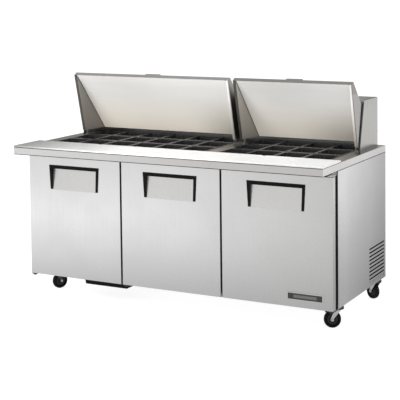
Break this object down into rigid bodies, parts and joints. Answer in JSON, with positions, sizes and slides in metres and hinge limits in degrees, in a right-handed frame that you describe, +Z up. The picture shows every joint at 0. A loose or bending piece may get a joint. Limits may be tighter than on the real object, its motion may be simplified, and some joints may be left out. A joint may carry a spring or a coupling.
{
  "type": "sandwich prep table",
  "caption": "Refrigerated stainless sandwich prep table: hinged lids over food pans, full width cutting board, side-hinged doors, rear hood and swivel castors.",
  "frame": {"origin": "on the floor, under the centre of the overall envelope", "axes": "+X to the right seen from the front, +Y from the front (cutting board side) to the back, +Z up"},
  "size_m": [1.839, 0.892, 1.2303],
  "materials": {
    "stainless": "satin",
    "galvanised": "matte",
    "lid_liner": "satin",
    "foam": "matte",
    "liner": "satin",
    "polyethylene": "matte",
    "pan_black": "satin",
    "black_rubber": "matte",
    "black_plastic": "matte",
    "black_steel": "satin",
    "zinc": "satin",
    "wheel": "matte",
    "wire": "satin",
    "coil": "satin",
    "fan": "matte",
    "badge": "satin"
  },
  "bodies": {
    "cabinet": {"base_panel": "galvanised", "side_panel_left": "stainless", "side_panel_right": "stainless", "rear_panel": "galvanised", "rear_grille": "galvanised", "cabinet_foam": "foam", "cabinet_liner": "liner", "front_frame": "stainless", "worktop": "stainless", "pan_well": "stainless", "pan_bars": "stainless", "food_pans": "pan_black", "hood_ends": "stainless", "hood_back": "stainless", "hood_liner": "stainless", "hood_edge_strips": "black_plastic", "lid_hinge_brackets": "stainless", "door_hinge_brackets": "black_steel", "shelves": "wire", "shelf_supports": "zinc", "compressor": "black_steel", "condenser_coil": "coil", "condenser_fan_motor": "black_steel", "evaporator_coil": "coil", "evaporator_fan_motor": "black_steel", "rear_bumpers": "black_rubber", "power_cord": "black_rubber", "castor_stems": "zinc"},
    "board": {"cutting_board": "polyethylene"},
    "lid_left": {"lid_left_skin": "stainless", "lid_left_liner": "lid_liner"},
    "lid_right": {"lid_right_skin": "stainless", "lid_right_liner": "lid_liner"},
    "door_left": {"door_left_skin": "stainless", "door_left_liner": "liner", "door_left_gasket": "black_rubber", "door_left_handle": "black_plastic"},
    "door_middle": {"door_middle_skin": "stainless", "door_middle_liner": "liner", "door_middle_gasket": "black_rubber", "door_middle_handle": "black_plastic"},
    "door_right": {"door_right_skin": "stainless", "door_right_liner": "liner", "door_right_gasket": "black_rubber", "door_right_handle": "black_plastic", "badge": "badge"},
    "tray": {"drip_tray": "black_plastic"},
    "condenser_fan": {"condenser_fan": "fan"},
    "evaporator_fan": {"evaporator_fan": "fan"},
    "thermostat_knob": {"thermostat_knob": "black_plastic"},
    "castor_fl": {"castor_fork_fl": "zinc"},
    "wheel_fl": {"castor_wheel_fl": "wheel"},
    "castor_fr": {"castor_fork_fr": "zinc"},
    "wheel_fr": {"castor_wheel_fr": "wheel"},
    "castor_rl": {"castor_fork_rl": "zinc"},
    "wheel_rl": {"castor_wheel_rl": "wheel"},
    "castor_rr": {"castor_fork_rr": "zinc"},
    "wheel_rr": {"castor_wheel_rr": "wheel"},
    "brake_fl": {"castor_brake_fl": "black_steel"},
    "brake_fr": {"castor_brake_fr": "black_steel"}
  },
  "joints": [
    {"name": "board_lift", "type": "slide", "parent": "cabinet", "child": "board", "axis": [0, 0, 1], "range_m": [0, 0.06]},
    {"name": "lid_left_hinge", "type": "hinge", "parent": "cabinet", "child": "lid_left", "pos_m": [-0.361, 0.1556, 0.8797], "axis": [1, 0, 0], "range_deg": [0, 76.7]},
    {"name": "lid_right_hinge", "type": "hinge", "parent": "cabinet", "child": "lid_right", "pos_m": [0.522, 0.1556, 0.8797], "axis": [1, 0, 0], "range_deg": [0, 76.7]},
    {"name": "door_left_hinge", "type": "hinge", "parent": "cabinet", "child": "door_left", "pos_m": [-0.9015, -0.3033, 0.46], "axis": [0, 0, -1], "range_deg": [0, 105]},
    {"name": "door_middle_hinge", "type": "hinge", "parent": "cabinet", "child": "door_middle", "pos_m": [-0.2956, -0.3033, 0.46], "axis": [0, 0, -1], "range_deg": [0, 105]},
    {"name": "door_right_hinge", "type": "hinge", "parent": "cabinet", "child": "door_right", "pos_m": [0.9015, -0.3033, 0.46], "axis": [0, 0, 1], "range_deg": [0, 105]},
    {"name": "tray_slide", "type": "slide", "parent": "cabinet", "child": "tray", "axis": [0, -1, 0], "range_m": [0, 0.2]},
    {"name": "condenser_fan_spin", "type": "hinge", "parent": "cabinet", "child": "condenser_fan", "pos_m": [0.515, 0.289, 0.247], "axis": [1, 0, 0], "continuous": true},
    {"name": "evaporator_fan_spin", "type": "hinge", "parent": "cabinet", "child": "evaporator_fan", "pos_m": [0.255, 0.316, 0.633], "axis": [0, -1, 0], "continuous": true},
    {"name": "thermostat_turn", "type": "hinge", "parent": "cabinet", "child": "thermostat_knob", "pos_m": [-0.325, 0.304, 0.65], "axis": [0, -1, 0], "range_deg": [0, 270]},
    {"name": "castor_fl_swivel", "type": "hinge", "parent": "cabinet", "child": "castor_fl", "pos_m": [-0.878, -0.156, 0.1], "axis": [0, 0, 1], "continuous": true},
    {"name": "wheel_fl_spin", "type": "hinge", "parent": "castor_fl", "child": "wheel_fl", "pos_m": [-0.86519, -0.12668, 0.044], "axis": [-0.9164, 0.4003, 0], "continuous": true},
    {"name": "castor_fr_swivel", "type": "hinge", "parent": "cabinet", "child": "castor_fr", "pos_m": [0.878, -0.156, 0.1], "axis": [0, 0, 1], "continuous": true},
    {"name": "wheel_fr_spin", "type": "hinge", "parent": "castor_fr", "child": "wheel_fr", "pos_m": [0.84854, -0.1685, 0.044], "axis": [0.3907, -0.9205, 0], "continuous": true},
    {"name": "castor_rl_swivel", "type": "hinge", "parent": "cabinet", "child": "castor_rl", "pos_m": [-0.878, 0.392, 0.1], "axis": [0, 0, 1], "continuous": true},
    {"name": "wheel_rl_spin", "type": "hinge", "parent": "castor_rl", "child": "wheel_rl", "pos_m": [-0.84793, 0.40294, 0.044], "axis": [-0.342, 0.9397, 0], "continuous": true},
    {"name": "castor_rr_swivel", "type": "hinge", "parent": "cabinet", "child": "castor_rr", "pos_m": [0.878, 0.392, 0.1], "axis": [0, 0, 1], "continuous": true},
    {"name": "wheel_rr_spin", "type": "hinge", "parent": "castor_rr", "child": "wheel_rr", "pos_m": [0.85029, 0.408, 0.044], "axis": [-0.5, -0.866, 0], "continuous": true},
    {"name": "brake_fl_pedal", "type": "hinge", "parent": "castor_fl", "child": "brake_fl", "pos_m": [-0.85238, -0.09735, 0.088], "axis": [-0.9164, 0.4003, 0], "range_deg": [0, 10]},
    {"name": "brake_fr_pedal", "type": "hinge", "parent": "castor_fr", "child": "brake_fr", "pos_m": [0.81909, -0.18101, 0.088], "axis": [0.3907, -0.9205, 0], "range_deg": [0, 10]}
  ]
}
